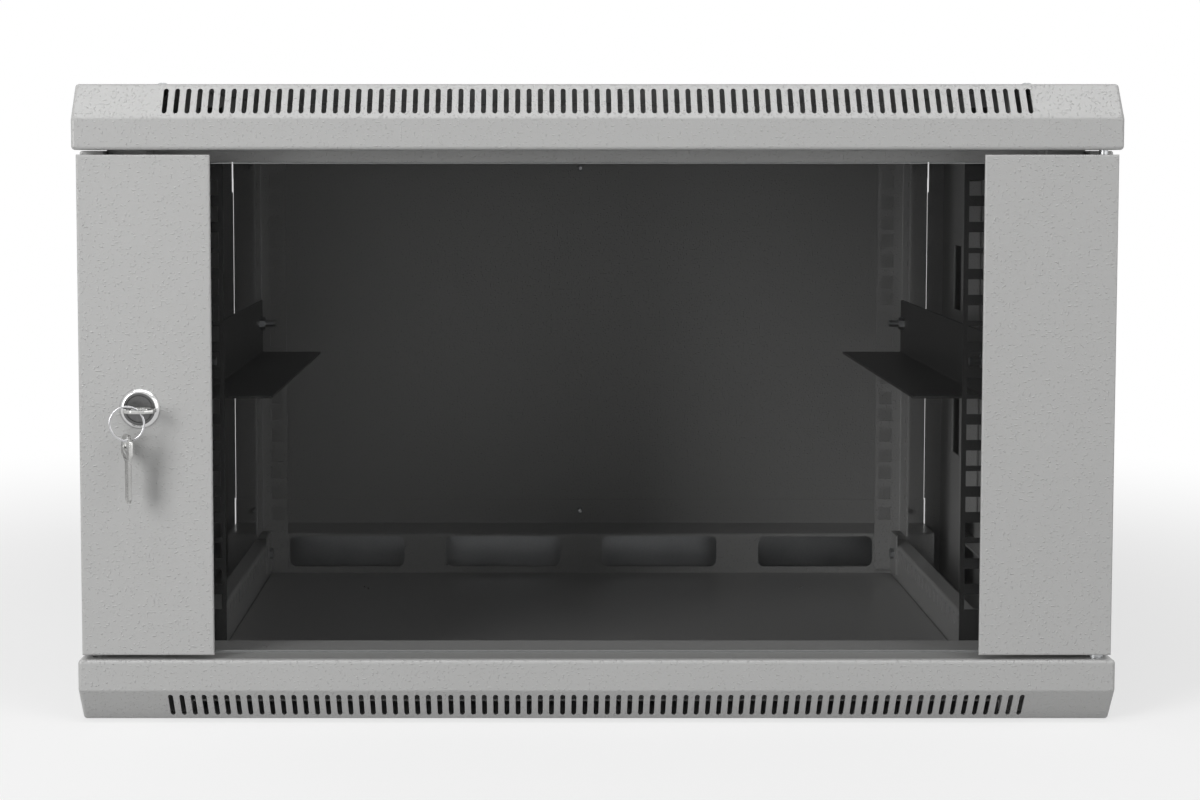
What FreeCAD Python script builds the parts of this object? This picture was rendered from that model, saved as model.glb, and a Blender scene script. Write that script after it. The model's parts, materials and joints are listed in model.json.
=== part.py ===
"""Six-unit wall cabinet for 19 inch equipment, as a parametric FreeCAD document.

X runs to the right, Y towards the wall and Z up. The origin is at the middle of the underside, half way
between the front face and the back. Every size is a cell of the sheet named Sizes, in millimetres.
"""
import FreeCAD, Part
import Sketcher
import math
import os
import re

os.makedirs("parts", exist_ok=True)
doc = FreeCAD.newDocument("wall_cabinet")
Vector = FreeCAD.Vector

# ---------------------------------------------------------------- driving sizes
SIZES = {
    # overall
    "cabinet_width": 600,
    "cabinet_depth": 450,
    "rack_units": 6,
    "unit_height": 44.45,
    "margin_below": 11.25,
    "margin_above": 16.25,
    # top and bottom covers
    "cover_height": 37.9,
    "cover_lip": 18,
    "slope_setback": 14,
    "cover_gauge": 1.2,
    "cover_edge": 2.2,
    "cover_flange": 50,
    "top_lip_drop": 7,
    "lip_clearance": 0.5,
    "vent_count": 77,
    "vent_step": 6.5,
    "vent_width": 2.9,
    "vent_rise": 14.4,
    "flange_hole_place": 196,
    "flange_hole_setback": 34,
    "flange_hole_radius": 1.8,
    # folded frame parts
    "frame_gauge": 1.2,
    "bend_radius": 1,
    "fold_start": 24,
    "floor_height": 8.9,
    "tie_slot_place": 161,
    "tie_slot_setback": 347,
    "tie_slot_length": 6,
    "tie_slot_width": 1.6,
    "tie_slot_gap": 6,
    # side channels that carry the rails
    "channel_offset": 13.8,
    "channel_height": 34.5,
    "channel_flange": 11.2,
    "channel_foot": 27,
    "slot_count": 22,
    "slot_step": 14,
    "slot_width": 4.4,
    "slot_rise": 9,
    "slot_level": 27,
    # rear frame
    "web_setback": 403,
    "web_height": 39.5,
    "web_foot": 15,
    "upstand_height": 19,
    "rear_frame_inset": 28.5,
    "window_width": 88,
    "window_rise": 23.5,
    "window_corner": 5,
    "window_level": 25.3,
    "window_step": 120,
    # posts and side panels
    "rear_post_inset": 28.2,
    "post_web_inset": 14.2,
    "rear_post_front": 374,
    "post_lip_length": 13,
    "post_lip_margin": 60,
    "post_notch": 0.8,
    "low_notch_top": 59.5,
    "high_notch_drop": 31.5,
    "post_window_setback": 379,
    "post_window_width": 27,
    "post_window_rise": 48.8,
    "post_window_spread": 109.6,
    "post_window_drop": 3,
    "front_post_inset": 38,
    "front_post_setback": 30,
    "front_post_depth": 30,
    "panel_gauge": 1.2,
    "panel_return": 14,
    "panel_setback": 22.5,
    "panel_edge": 2,
    "panel_gap": 0.4,
    "panel_screw_level": 78.5,
    "back_panel_inset": 28.5,
    "back_panel_gap": 0.2,
    # countersunk panel screws
    "screw_radius": 2,
    "screw_head_radius": 3.6,
    "screw_length": 10,
    "screw_clearance": 0.2,
    "back_screw_inset": 44,
    "back_screw_level": 50.5,
    # mounting rails
    "rail_gauge": 1.5,
    "rail_opening": 450,
    "rail_face": 21,
    "rail_side": 28,
    "rail_setback": 77,
    "rail_end_gap": 12,
    "rail_foot_height": 30,
    "rail_foot_depth": 24,
    "rack_hole_spacing": 465.1,
    "rack_hole": 9.5,
    "rack_hole_margin": 6.35,
    "rack_hole_step": 15.875,
    "rail_bolt_inset": 15,
    "rail_bolt_radius": 2,
    "bolt_clearance": 0.25,
    "rail_row_inset": 21,
    "rail_row_radius": 2,
    # shelf supports
    "shelf_level": 180,
    "shelf_edge": 199,
    "shelf_flange": 41,
    "shelf_start": 84,
    "shelf_tray_start": 100,
    "shelf_end_gap": 0.2,
    "shelf_bolt_level": 202.5,
    "shelf_bolt_radius": 2.5,
    "shelf_bolt_reach": 14,
    # hex heads and nuts
    "small_head_width": 7,
    "small_head_height": 2.8,
    "small_nut_height": 3.2,
    "large_head_width": 8,
    "large_head_height": 3.5,
    "large_nut_height": 4,
    # screws through the top cover
    "lid_screw_place": 258,
    "lid_screw_front": 62,
    "lid_screw_rear": 380,
    "lid_screw_head_radius": 3.8,
    "lid_screw_head_height": 2.4,
    "lid_screw_length": 6,
    # cable entries and wall bars
    "entry_width": 300,
    "entry_depth": 32,
    "entry_setback": 410,
    "entry_margin": 4,
    "entry_side_margin": 8,
    "entry_screw_radius": 1.5,
    "entry_screw_head_radius": 3,
    "entry_screw_head_height": 1.8,
    "wall_bar_inset": 30,
    "wall_bar_height": 28,
    "wall_bar_gauge": 2.5,
    "wall_hole_inset": 50,
    "wall_hole_level": 20,
    "wall_hole_radius": 4.5,
    # door
    "door_side_gap": 2.5,
    "door_gap": 2.6,
    "door_inset": 1,
    "door_thickness": 18,
    "stile_width": 76.5,
    "stile_edge": 1.1,
    "cap_width": 57.5,
    "glass_thickness": 4,
    "glass_lap": 14,
    "glass_drop": 4.6,
    "glass_lift": 1.2,
    "glass_edge": 0.5,
    "tape_thickness": 1,
    "tape_width": 11,
    "tape_end_gap": 3,
    # hinge
    "pin_inset": 9.4,
    "pin_setback": 10,
    "pin_radius": 2.5,
    "pin_fit": 0.07,
    "low_pin_tail": 7,
    "low_pin_reach": 10,
    "collar_radius": 4.5,
    "collar_gap": 0.1,
    "pin_nut_height": 3.8,
    "top_pin_reach": 5,
    "top_pin_length": 39,
    "top_collar_height": 2,
    "top_collar_gap": 0.3,
    "lever_radius": 1.75,
    "lever_length": 13,
    "lever_rise": 3,
    "bracket_drop": 20.8,
    "bracket_width": 16.8,
    "bracket_depth": 16.3,
    "spring_radius": 3.4,
    "spring_wire": 0.45,
    "spring_turns": 6,
    # lock
    "lock_inset": 37.5,
    "lock_drop": 1,
    "bezel_radius": 11.8,
    "bezel_face_radius": 9.9,
    "bezel_height": 2.2,
    "barrel_radius": 9.5,
    "barrel_length": 20,
    "plug_radius": 7.5,
    "plug_fit": 0.06,
    "plug_recess": 0.3,
    "plug_length": 24.5,
    "tail_radius": 4,
    "barrel_clearance": 0.05,
    "lock_nut_width": 24,
    "lock_nut_height": 3,
    "cam_width": 12,
    "cam_reach": 22,
    "cam_gauge": 2,
    "cam_screw_radius": 1.5,
    "cam_screw_head_radius": 5.5,
    "cam_screw_head_height": 1.6,
    "cam_screw_length": 4,
    "strike_gap": 0.5,
    "strike_width": 13,
    "strike_inset": 21,
    "strike_drop": 9.5,
    "strike_lift": 8.7,
    "strike_foot": 12,
    # keys
    "key_gauge": 2,
    "key_clearance": 0.1,
    "blade_width": 7.6,
    "blade_length": 22.5,
    "bow_width": 18,
    "bow_length": 15.6,
    "bow_offset": 2,
    "bow_shoulder": 1,
    "bow_end_width": 8,
    "bow_corner": 2,
    "key_hole_width": 10,
    "key_hole_length": 5,
    "key_hole_inset": 5.5,
    "key_hole_corner": 1.5,
    "ring_radius": 9.8,
    "ring_wire": 0.6,
    "ring_hang": 7.25,
    "spare_hang_gap": 0.1,
    "spare_turn": 26,
}

sheet = doc.addObject("Spreadsheet::Sheet", "Sizes")
for row, (alias, number) in enumerate(SIZES.items(), 1):
    sheet.set(f"A{row}", alias)
    sheet.set(f"B{row}", str(number))
    sheet.setAlias(f"B{row}", alias)
doc.recompute()

# ---------------------------------------------------------------- places worked out from the sizes
FRONT = "(-cabinet_depth / 2)"
BACK = "(cabinet_depth / 2)"
HALF_WIDTH = "(cabinet_width / 2)"
DECK_LOW = "cover_height"
DECK_HIGH = "(cover_height + rack_units * unit_height + margin_below + margin_above)"
HEIGHT = f"({DECK_HIGH} + cover_height)"
MIDDLE = f"({HEIGHT} / 2)"
RAIL_BASE = "(cover_height + margin_below)"
CHANNEL_WALL = "(rail_opening / 2 + channel_offset)"
CHANNEL_OUTSIDE = f"({CHANNEL_WALL} + frame_gauge)"
WEB_FACE = f"({FRONT} + web_setback)"
REAR_FRAME_END = f"({HALF_WIDTH} - rear_frame_inset)"
REAR_POST_EDGE = f"({HALF_WIDTH} - rear_post_inset)"
POST_WEB = f"({HALF_WIDTH} - post_web_inset)"
FRONT_POST_EDGE = f"({HALF_WIDTH} - front_post_inset)"
BACK_SCREW_X = f"({HALF_WIDTH} - back_screw_inset)"
WALL_HOLE_X = f"({HALF_WIDTH} - wall_hole_inset)"
RAIL_EDGE = "(rail_opening / 2)"
RAIL_OUTSIDE = f"({RAIL_EDGE} + rail_face)"
FRONT_RAIL = f"({FRONT} + rail_setback)"
REAR_RAIL = f"({FRONT_RAIL} + 2 * rail_bolt_inset + slot_step * (slot_count - 1))"
BACK_SKIN = f"({BACK} - panel_gauge)"
PANEL_LOW = f"({DECK_LOW} + panel_gap)"
PANEL_HIGH = f"({DECK_HIGH} - panel_gap)"
PANEL_INSIDE = f"({HALF_WIDTH} - panel_gauge)"
DOOR_LOW = f"({DECK_LOW} + door_gap)"
DOOR_HIGH = f"({DECK_HIGH} - door_gap)"
DOOR_FACE = f"({FRONT} + door_inset)"
DOOR_SKIN = f"({DOOR_FACE} + frame_gauge)"
DOOR_SIDE = f"({HALF_WIDTH} - door_side_gap)"
STILE_EDGE = f"({DOOR_SIDE} - stile_width)"
GLASS_EDGE = f"({STILE_EDGE} + glass_lap)"
GLASS_LOW = f"({DOOR_LOW} + glass_lift)"
GLASS_HIGH = f"({DOOR_HIGH} - glass_drop)"
GLASS_FACE = f"({DOOR_SKIN} + tape_thickness)"
PIN_X = f"({HALF_WIDTH} - pin_inset)"
PIN_Y = f"({FRONT} + pin_setback)"
LOCK_X = f"(lock_inset - {HALF_WIDTH})"
LOCK_Z = f"({MIDDLE} - lock_drop)"
BEZEL_FACE = f"({DOOR_FACE} - bezel_height)"
PLUG_FACE = f"({BEZEL_FACE} + plug_recess)"
PLUG_REAR = f"({PLUG_FACE} + plug_length)"
CAM_REAR = f"({PLUG_REAR} + cam_gauge)"
KEY_HOLE_Y = f"({PLUG_FACE} - bow_shoulder - bow_length + key_hole_inset)"
RING_PIVOT_X = f"({LOCK_X} + bow_offset - (bow_width + key_hole_width) / 4)"
RING_Z = f"({LOCK_Z} - ring_hang)"
SIDES = (("left", -1), ("right", 1))

WORDS = re.compile(r"\b(" + "|".join(SIZES) + r")\b")
pieces = []


def bound(expression):
    """The expression with each size's name pointing at its cell of the sheet."""
    return WORDS.sub(r"Sizes.\1", str(expression))


def value(expression):
    """The number that an expression has now."""
    result = sheet.evalExpression(str(expression))
    return float(getattr(result, "Value", result))


def times(sign, expression):
    """A place on the left (-1) or the right (1), or its mirror image up and down."""
    return f"({sign} * ({expression}))"


def plus(base, sign, expression):
    """A place measured from a base, forwards or backwards."""
    return f"({base} + {sign} * ({expression}))"


def keep(part, label):
    """Name a finished piece, which is written to the file of that name."""
    part.Label = label
    pieces.append(part)
    return part


# ---------------------------------------------------------------- PartDesign helpers
def new_body(label):
    body = doc.addObject("PartDesign::Body", label)
    return keep(body, label)


def origin_item(body, role):
    return next(item for item in body.Origin.OriginFeatures if item.Role == role)


def new_sketch(body, plane, level):
    """A sketch on the body's plane XY, XZ or YZ, moved to a level along X, Y or Z."""
    sketch = body.newObject("Sketcher::SketchObject", f"{body.Name}_sketch")
    sketch.AttachmentSupport = [(origin_item(body, f"{plane}_Plane"), "")]
    sketch.MapMode = "FlatFace"
    sign = -1 if plane == "XZ" else 1
    sketch.setExpression("AttachmentOffset.Base.z", bound(times(sign, level)))
    return sketch


def fix(sketch, kind, references, expression):
    """A dimension of the sketch that follows an expression."""
    index = sketch.addConstraint(Sketcher.Constraint(kind, *references, value(expression)))
    sketch.setExpression(f"Constraints[{index}]", bound(expression))


def polygon(sketch, corners):
    first = sketch.GeometryCount
    count = len(corners)
    spots = [Vector(value(across), value(along), 0) for across, along in corners]
    lines = [Part.LineSegment(spots[i], spots[(i + 1) % count]) for i in range(count)]
    sketch.addGeometry(lines, False)
    for i in range(count):
        following = first + (i + 1) % count
        sketch.addConstraint(Sketcher.Constraint("Coincident", first + i, 2, following, 1))
    for i, (across, along) in enumerate(corners):
        fix(sketch, "DistanceX", (-1, 1, first + i, 1), across)
        fix(sketch, "DistanceY", (-1, 1, first + i, 1), along)


def rectangle(sketch, left, right, low, high):
    polygon(sketch, [(left, low), (right, low), (right, high), (left, high)])


def circle(sketch, across, along, radius):
    first = sketch.GeometryCount
    centre = Vector(value(across), value(along), 0)
    sketch.addGeometry(Part.Circle(centre, Vector(0, 0, 1), value(radius)), False)
    fix(sketch, "DistanceX", (-1, 1, first, 3), across)
    fix(sketch, "DistanceY", (-1, 1, first, 3), along)
    fix(sketch, "Radius", (first,), radius)


def obround(sketch, across, along, width, rise):
    """An upright slot with round ends."""
    first = sketch.GeometryCount
    x, y = value(across), value(along)
    radius = value(width) / 2
    half = value(rise) / 2 - radius
    axis = Vector(0, 0, 1)
    top = Part.ArcOfCircle(Part.Circle(Vector(x, y + half, 0), axis, radius), 0, math.pi)
    base = Part.ArcOfCircle(Part.Circle(Vector(x, y - half, 0), axis, radius), math.pi, 2 * math.pi)
    left = Part.LineSegment(Vector(x - radius, y + half, 0), Vector(x - radius, y - half, 0))
    right = Part.LineSegment(Vector(x + radius, y - half, 0), Vector(x + radius, y + half, 0))
    sketch.addGeometry([top, left, base, right], False)
    for i in range(4):
        following = first + (i + 1) % 4
        sketch.addConstraint(Sketcher.Constraint("Tangent", first + i, 2, following, 1))
    sketch.addConstraint(Sketcher.Constraint("Vertical", first + 1))
    fix(sketch, "DistanceX", (-1, 1, first, 3), across)
    fix(sketch, "DistanceY", (-1, 1, first, 3), f"{along} + ({rise} - {width}) / 2")
    fix(sketch, "DistanceY", (first + 2, 3, first, 3), f"{rise} - {width}")
    fix(sketch, "Radius", (first,), f"{width} / 2")


def pad(body, sketch, plane, length):
    """Thicken a sketch towards +X, +Y or +Z."""
    feature = body.newObject("PartDesign::Pad", f"{body.Name}_pad")
    feature.Profile = sketch
    feature.Reversed = plane == "XZ"
    feature.setExpression("Length", bound(length))
    doc.recompute()
    return feature


def cut(body, sketch, depth):
    """Cut half the depth to each side of the sketch, and check that metal has gone."""
    before = body.Shape.Volume
    feature = body.newObject("PartDesign::Pocket", f"{body.Name}_cut")
    feature.Profile = sketch
    feature.SideType = "Symmetric"
    feature.setExpression("Length", bound(depth))
    doc.recompute()
    if body.Shape.Volume >= before - 1e-3:
        raise RuntimeError(f"{feature.Name} removes nothing from {body.Label}")
    return feature


def repeat(body, feature, axis, pitch, count):
    """Repeat a cut along an axis, and make the pattern the body's last step."""
    pattern = body.newObject("PartDesign::LinearPattern", f"{body.Name}_row")
    pattern.Originals = [feature]
    pattern.Direction = (origin_item(body, f"{axis}_Axis"), [""])
    pattern.Mode = "Spacing"
    pattern.setExpression("Offset", bound(pitch))
    pattern.setExpression("Occurrences", bound(count))
    body.Tip = pattern
    doc.recompute()
    return pattern


def round_edges(body, chosen, radius):
    """Round the edges of the body that the test chooses."""
    base = body.Tip
    names = [f"Edge{i}" for i, edge in enumerate(base.Shape.Edges, 1) if chosen(edge)]
    feature = body.newObject("PartDesign::Fillet", f"{body.Name}_round")
    feature.Base = (base, names)
    feature.setExpression("Radius", bound(radius))
    doc.recompute()
    return feature


def cut_hole(body, plane, level, across, along, radius, depth):
    sketch = new_sketch(body, plane, level)
    circle(sketch, across, along, radius)
    return cut(body, sketch, depth)


PLANE_AXES = {"XY": (0, 1, 2), "XZ": (0, 2, 1), "YZ": (1, 2, 0)}


def runs_through(plane, spots, low, high):
    """A test for edges that rise from the plane at one of the spots, between two levels."""
    across, along, up = PLANE_AXES[plane]

    def chosen(edge):
        points = [(p.Point.x, p.Point.y, p.Point.z) for p in edge.Vertexes]
        if len(points) != 2 or abs(points[0][up] - points[1][up]) < 1e-6:
            return False
        if min(points[0][up], points[1][up]) < low - 1e-4:
            return False
        if max(points[0][up], points[1][up]) > high + 1e-4:
            return False
        return any(
            all(math.hypot(p[across] - spot[0], p[along] - spot[1]) < 1e-4 for p in points)
            for spot in spots
        )

    return chosen


def fold(body, plane, path, gauge, start, length, turn, bent=True):
    """Add folded sheet to the body: a square-cornered path that gets its gauge on its left (turn 1) or
    right (turn -1), drawn out along the third axis and bent with a real radius at each fold."""
    spots = [(value(across), value(along)) for across, along in path]
    sideways = []
    for (x0, y0), (x1, y1) in zip(spots, spots[1:]):
        span = math.hypot(x1 - x0, y1 - y0)
        sideways.append((round(-turn * (y1 - y0) / span), round(turn * (x1 - x0) / span)))
    shifts = [sideways[0]]
    for before, after in zip(sideways, sideways[1:]):
        shifts.append((before[0] + after[0], before[1] + after[1]))
    shifts.append(sideways[-1])
    second = [
        (f"{across} + {dx} * {gauge}", f"{along} + {dy} * {gauge}")
        for (across, along), (dx, dy) in zip(path, shifts)
    ]
    sketch = new_sketch(body, plane, start)
    polygon(sketch, list(path) + second[::-1])
    pad(body, sketch, plane, length)
    if not bent:
        return
    outside, inside = [], []
    for i in range(1, len(path) - 1):
        (ax, ay), (bx, by) = sideways[i - 1], sideways[i]
        shifted = (value(second[i][0]), value(second[i][1]))
        same_way = (ax * by - ay * bx) * turn > 0
        outside.append(spots[i] if same_way else shifted)
        inside.append(shifted if same_way else spots[i])
    low = value(start)
    high = low + value(length)
    if outside:
        round_edges(body, runs_through(plane, outside, low, high), f"bend_radius + {gauge}")
        round_edges(body, runs_through(plane, inside, low, high), "bend_radius")


# ---------------------------------------------------------------- Part helpers
AXIS_TURNS = {
    "x": FreeCAD.Rotation(Vector(0, 1, 0), 90),
    "-x": FreeCAD.Rotation(Vector(0, 1, 0), -90),
    "y": FreeCAD.Rotation(Vector(1, 0, 0), -90),
    "-y": FreeCAD.Rotation(Vector(1, 0, 0), 90),
    "z": FreeCAD.Rotation(),
    "-z": FreeCAD.Rotation(Vector(1, 0, 0), 180),
}


def place(part, spot, axis="z"):
    """Stand a primitive on a spot, pointing along an axis."""
    part.Placement = FreeCAD.Placement(Vector(), AXIS_TURNS[axis])
    for letter, expression in zip("xyz", spot):
        part.setExpression(f"Placement.Base.{letter}", bound(expression))
    return part


def primitive(kind, spot, axis, **sizes):
    part = doc.addObject(f"Part::{kind}", kind)
    for name, expression in sizes.items():
        part.setExpression(name, bound(expression))
    return place(part, spot, axis)


def cylinder(spot, axis, radius, length):
    return primitive("Cylinder", spot, axis, Radius=radius, Height=length)


def cone(spot, axis, radius, end_radius, length):
    return primitive("Cone", spot, axis, Radius1=radius, Radius2=end_radius, Height=length)


def hexagon(spot, axis, width, length):
    """A hexagonal head or nut, given by its width across the flats."""
    part = primitive("Prism", spot, axis, Circumradius=f"{width} / sqrt(3)", Height=length)
    part.Polygon = 6
    return part


def box(left, right, front, back, low, high):
    sizes = {
        "Length": f"({right}) - ({left})",
        "Width": f"({back}) - ({front})",
        "Height": f"({high}) - ({low})",
    }
    return primitive("Box", (left, front, low), "z", **sizes)


def join(parts):
    """One solid from several primitives."""
    union = doc.addObject("Part::MultiFuse", "union")
    union.Shapes = parts
    union.Refine = True
    return union


def group(parts):
    """Several separate solids in one piece."""
    compound = doc.addObject("Part::Compound", "group")
    compound.Links = parts
    return compound


def subtract(base, tool):
    difference = doc.addObject("Part::Cut", "difference")
    difference.Base = base
    difference.Tool = tool
    return difference


# ---------------------------------------------------------------- covers, floor and frame
def cover(name, outer, inward):
    """A shallow sheet tray with a sloping vented front. Heights run inwards from its outer face."""
    body = new_body(name)

    def level(expression):
        return plus(outer, inward, expression)

    rise = "(cover_height - cover_lip)"
    slope = f"sqrt(slope_setback ^ 2 + {rise} ^ 2)"
    outline = new_sketch(body, "YZ", f"-{HALF_WIDTH}")
    polygon(outline, [
        (FRONT, level("cover_height")),
        (FRONT, level(rise)),
        (f"{FRONT} + slope_setback", level("0")),
        (BACK, level("0")),
        (BACK, level("cover_height")),
    ])
    pad(body, outline, "YZ", "cabinet_width")
    back = value(BACK)
    round_edges(body, lambda edge: any(v.Point.y < back - 1e-6 for v in edge.Vertexes), "cover_edge")
    cavity = new_sketch(body, "YZ", "0")
    polygon(cavity, [
        (f"{FRONT} + cover_gauge", level(f"{rise} + cover_gauge * ({slope} - {rise}) / slope_setback")),
        (f"{FRONT} + cover_gauge", level("cover_height - cover_gauge")),
        (f"{FRONT} + cover_flange", level("cover_height - cover_gauge")),
        (f"{FRONT} + cover_flange", level("cover_height + cover_gauge")),
        (f"{BACK} - cover_gauge", level("cover_height + cover_gauge")),
        (f"{BACK} - cover_gauge", level("cover_gauge")),
        (f"{FRONT} + slope_setback + cover_gauge * ({slope} - slope_setback) / {rise}",
         level("cover_gauge")),
    ])
    cut(body, cavity, "cabinet_width - 2 * cover_gauge")
    for side in (-1, 1):
        cut_hole(body, "XY", level("cover_height"), times(side, PIN_X), PIN_Y,
                 "pin_radius + pin_fit", "4 * cover_gauge")
        cut_hole(body, "XZ", BACK, times(side, WALL_HOLE_X), level("wall_hole_level"),
                 "wall_hole_radius", "4 * cover_gauge")
        cut_hole(body, "XY", level("0"), times(side, "(entry_width / 2 + entry_side_margin / 2)"),
                 f"{FRONT} + entry_setback + entry_depth / 2",
                 "entry_screw_radius + bolt_clearance", "4 * cover_gauge")
    entry = new_sketch(body, "XY", level("0"))
    rectangle(entry, "-entry_width / 2", "entry_width / 2",
              f"{FRONT} + entry_setback", f"{FRONT} + entry_setback + entry_depth")
    cut(body, entry, "4 * cover_gauge")
    return body, level


def vents(body, level):
    """The long row of narrow upright slots in the sloping front."""
    sketch = new_sketch(body, "XZ", FRONT)
    obround(sketch, "-vent_step * (vent_count - 1) / 2", level("(cover_height - cover_lip) / 2"),
            "vent_width", "vent_rise")
    first = cut(body, sketch, "2 * (slope_setback + 2 * cover_gauge)")
    repeat(body, first, "X", "vent_step", "vent_count")


def bottom_cover():
    body, level = cover("bottom_cover", "0", 1)
    cut_hole(body, "XY", level("cover_height"), "-flange_hole_place",
             f"{FRONT} + flange_hole_setback", "flange_hole_radius", "4 * cover_gauge")
    vents(body, level)


def top_cover():
    body, level = cover("top_cover", HEIGHT, -1)
    lip_end = f"({FRONT_POST_EDGE} - lip_clearance)"
    lip = new_sketch(body, "YZ", f"-{lip_end}")
    rectangle(lip, f"{FRONT} + cover_flange - cover_gauge", f"{FRONT} + cover_flange",
              f"{DECK_HIGH} - top_lip_drop", f"{DECK_HIGH} + cover_gauge")
    pad(body, lip, "YZ", f"2 * {lip_end}")
    for side in (-1, 1):
        for setback in ("lid_screw_front", "lid_screw_rear"):
            cut_hole(body, "XY", HEIGHT, times(side, "lid_screw_place"), f"{FRONT} + {setback}",
                     "screw_radius + bolt_clearance", "4 * cover_gauge")
    vents(body, level)


def floor_panel():
    """A stiff inner floor: a flat plate with its long edges turned down on to the bottom cover."""
    body = new_body("floor_panel")
    path = [
        (f"-{CHANNEL_WALL}", "cover_gauge"),
        (f"-{CHANNEL_WALL}", "floor_height"),
        (CHANNEL_WALL, "floor_height"),
        (CHANNEL_WALL, "cover_gauge"),
    ]
    fold(body, "XZ", path, "frame_gauge", f"{FRONT} + fold_start", "web_setback - fold_start", -1)
    for side in (-1, 1):
        for shift in (-1, 1):
            sketch = new_sketch(body, "XY", "floor_height")
            centre = f"{FRONT} + tie_slot_setback + {shift} * tie_slot_gap / 2"
            middle = plus(times(side, "tie_slot_place"), side * shift, "tie_slot_width")
            rectangle(sketch, f"{middle} - tie_slot_width / 2", f"{middle} + tie_slot_width / 2",
                      f"{centre} - tie_slot_length / 2", f"{centre} + tie_slot_length / 2")
            cut(body, sketch, "4 * frame_gauge")


def channel(name, side, outer, inward):
    """A folded channel along the side, with a row of slots that the rails are bolted to."""
    body = new_body(name)

    def level(expression):
        return plus(outer, inward, expression)

    path = [
        (times(side, f"{CHANNEL_WALL} + channel_flange"), level("channel_height")),
        (times(side, CHANNEL_WALL), level("channel_height")),
        (times(side, CHANNEL_WALL), level("cover_gauge")),
        (times(side, f"{CHANNEL_WALL} + channel_foot"), level("cover_gauge")),
    ]
    fold(body, "XZ", path, "frame_gauge", f"{FRONT} + fold_start",
         "web_setback - fold_start", side * inward)
    slots = new_sketch(body, "YZ", times(side, f"{CHANNEL_WALL} + frame_gauge / 2"))
    obround(slots, f"{FRONT_RAIL} + rail_bolt_inset", level("slot_level"), "slot_width", "slot_rise")
    first = cut(body, slots, "4 * frame_gauge")
    repeat(body, first, "Y", "slot_step", "slot_count")
    if inward < 0:
        for setback in ("lid_screw_front", "lid_screw_rear"):
            cut_hole(body, "XY", level("cover_gauge"), times(side, "lid_screw_place"),
                     f"{FRONT} + {setback}", "screw_radius + bolt_clearance", "4 * frame_gauge")


def rear_frame(name, outer, inward):
    """The cross member in front of the back panel: foot, web with four windows, shelf and upstand."""
    body = new_body(name)

    def level(expression):
        return plus(outer, inward, expression)

    rear_skin = f"{WEB_FACE} + frame_gauge"
    path = [
        (f"{WEB_FACE} - web_foot", level("cover_gauge")),
        (rear_skin, level("cover_gauge")),
        (rear_skin, level("web_height - frame_gauge")),
        (BACK_SKIN, level("web_height - frame_gauge")),
        (BACK_SKIN, level("web_height + upstand_height")),
    ]
    fold(body, "YZ", path, "frame_gauge", f"-{REAR_FRAME_END}", f"2 * {REAR_FRAME_END}", inward)
    for side in (-1, 1):
        clearance = new_sketch(body, "XY", level("cover_gauge"))
        inner, outer_end = f"{CHANNEL_WALL} - 2 * frame_gauge", f"2 * {REAR_FRAME_END}"
        left, right = (inner, outer_end) if side > 0 else (times(-1, outer_end), times(-1, inner))
        rectangle(clearance, left, right, f"{WEB_FACE} - 2 * web_foot", WEB_FACE)
        cut(body, clearance, "4 * frame_gauge")
    for place_in_row in (-1.5, -0.5, 0.5, 1.5):
        centre = f"({place_in_row} * window_step)"
        sketch = new_sketch(body, "XZ", f"{WEB_FACE} + frame_gauge / 2")
        rectangle(sketch, f"{centre} - window_width / 2", f"{centre} + window_width / 2",
                  level(f"window_level - {inward} * window_rise / 2"),
                  level(f"window_level + {inward} * window_rise / 2"))
        cut(body, sketch, "4 * frame_gauge")
    face = value(WEB_FACE)
    high = value(level("window_level + window_rise / 2"))
    low = value(level("window_level - window_rise / 2"))

    def window_corner(edge):
        points = [vertex.Point for vertex in edge.Vertexes]
        if len(points) != 2 or abs(points[0].y - points[1].y) < 0.5 * value("frame_gauge"):
            return False
        if max(abs(p.y - face) for p in points) > value("frame_gauge") + 1e-4:
            return False
        return all(min(abs(p.z - high), abs(p.z - low)) < 1e-4 for p in points)

    round_edges(body, window_corner, "window_corner")
    for spot in (-1, 0, 1):
        cut_hole(body, "XZ", BACK_SKIN, times(spot, BACK_SCREW_X), level("back_screw_level"),
                 "screw_radius + screw_clearance", "4 * frame_gauge")


def rear_post(name, side):
    """The corner post: a flange on the back panel, a web with two windows and a lip for the side."""
    body = new_body(name)
    edge = times(side, REAR_POST_EDGE)
    web = times(side, POST_WEB)
    front = f"{FRONT} + rear_post_front"
    fold(body, "XY", [(edge, BACK_SKIN), (web, BACK_SKIN), (web, front)], "frame_gauge",
         "cover_gauge", f"{HEIGHT} - 2 * cover_gauge", -side)
    lip = [
        (times(side, f"{POST_WEB} - frame_gauge"), front),
        (times(side, PANEL_INSIDE), front),
        (times(side, PANEL_INSIDE), f"{front} + post_lip_length"),
    ]
    fold(body, "XY", lip, "frame_gauge", "post_lip_margin", f"{HEIGHT} - 2 * post_lip_margin", side)
    notch = new_sketch(body, "XZ", f"{BACK_SKIN} - frame_gauge / 2")
    beyond = times(side, f"{REAR_POST_EDGE} - post_notch")
    notched = times(side, f"{REAR_POST_EDGE} + post_notch")
    rectangle(notch, beyond, notched, "0", "low_notch_top")
    rectangle(notch, beyond, notched, f"{DECK_HIGH} - high_notch_drop", HEIGHT)
    cut(body, notch, "3 * frame_gauge")
    windows = new_sketch(body, "YZ", times(side, f"{POST_WEB} - frame_gauge / 2"))
    for half in (-1, 1):
        centre = f"({MIDDLE} - post_window_drop + {half} * post_window_spread / 2)"
        rectangle(windows, f"{FRONT} + post_window_setback",
                  f"{FRONT} + post_window_setback + post_window_width",
                  f"{centre} - post_window_rise / 2", f"{centre} + post_window_rise / 2")
    cut(body, windows, "3 * frame_gauge")
    side_screw_holes(body, side, f"{front} + post_lip_length / 2")


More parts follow.
